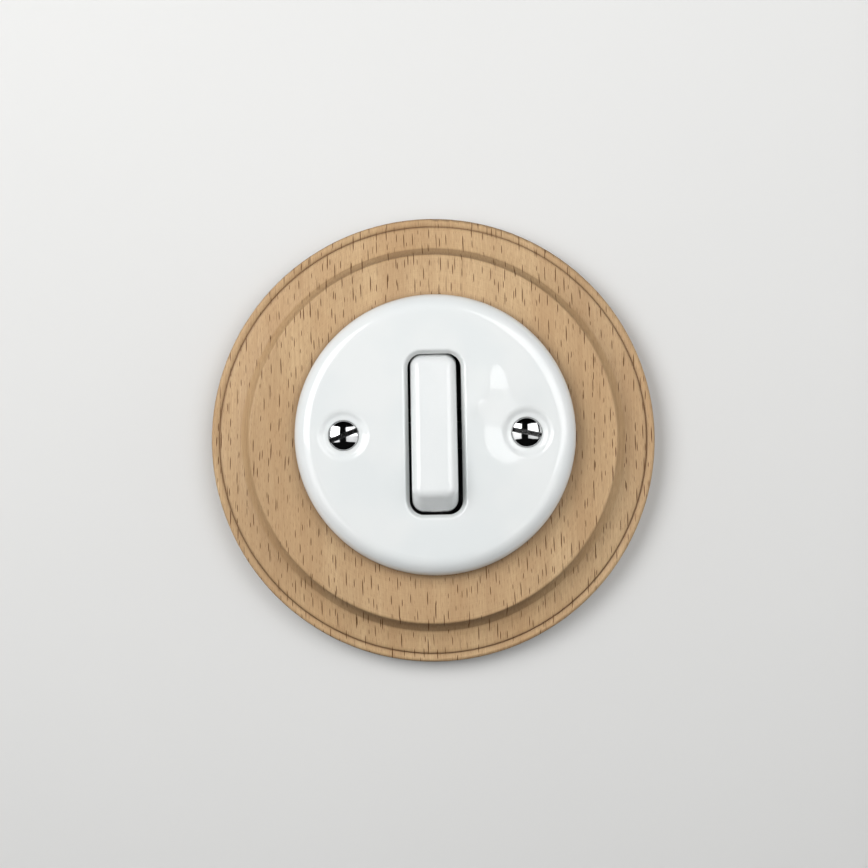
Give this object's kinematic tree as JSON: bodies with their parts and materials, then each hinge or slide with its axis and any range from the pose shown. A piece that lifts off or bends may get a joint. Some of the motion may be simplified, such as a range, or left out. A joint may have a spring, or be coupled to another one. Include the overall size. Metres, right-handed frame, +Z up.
{
  "type": "rocker light switch",
  "caption": "Flush wall light switch with a round glazed ceramic cover, a tall rocker and slotted screws, set in a turned wooden frame with a stepped moulding.",
  "frame": {"origin": "centre of the mounting plate's back face, on the wall plane", "axes": "+Z up the wall, +Y into the wall, the room and the switch's front towards -Y, +X to the right seen from the room"},
  "size_m": [0.136, 0.0539, 0.136],
  "materials": {
    "beech": "oiled beech, fine grain",
    "white_glaze": "glossy white glaze",
    "chrome": "polished",
    "white_plastic": "glossy moulding",
    "black_plastic": "satin moulding",
    "black_steel": "black lacquered steel",
    "steel": "plain steel",
    "zinc_steel": "zinc plated",
    "brass": "plain brass",
    "copper": "copper alloy strip",
    "silver": "silver contact"
  },
  "bodies": {
    "switch": {"wooden_frame": "beech", "ceramic_cover": "white_glaze", "cover_screws": "chrome", "mounting_plate": "black_steel", "screw_pillars": "brass", "pivot_pin": "steel", "mechanism_lid": "black_plastic", "mechanism_base": "black_plastic", "mechanism_screws": "zinc_steel", "fulcrum_post": "brass", "upper_contact_strip": "copper", "lower_contact_strip": "copper", "fixed_contact_pads": "silver", "terminal_blocks": "brass", "terminal_screws": "zinc_steel"},
    "rocker_assembly": {"rocker": "white_plastic", "rocker_cradle": "black_plastic", "plunger_spring": "steel"},
    "plunger_slider": {"plunger": "brass"},
    "contact_seesaw": {"contact_bridge": "copper", "moving_contact_pads": "silver"}
  },
  "joints": [
    {"name": "rocker_tilt", "type": "hinge", "parent": "switch", "child": "rocker_assembly", "pos_m": [0, -0.0095, 0], "axis": [1, 0, 0], "range_deg": [0, 16]},
    {"name": "plunger_slide", "type": "slide", "parent": "rocker_assembly", "child": "plunger_slider", "axis": [0, -0.9903, 0.1392], "range_m": [0, 0.0006], "stiffness_N_per_m": 200, "springref_m": -0.002, "deforming": ["plunger_spring"]},
    {"name": "contact_rock", "type": "hinge", "parent": "switch", "child": "contact_seesaw", "pos_m": [0, 0.0062, 0], "axis": [1, 0, 0], "range_deg": [-15, 0]}
  ],
  "couplings": [
    {"joint": "contact_rock", "follows": "rocker_tilt", "ratio": -0.9375}
  ]
}
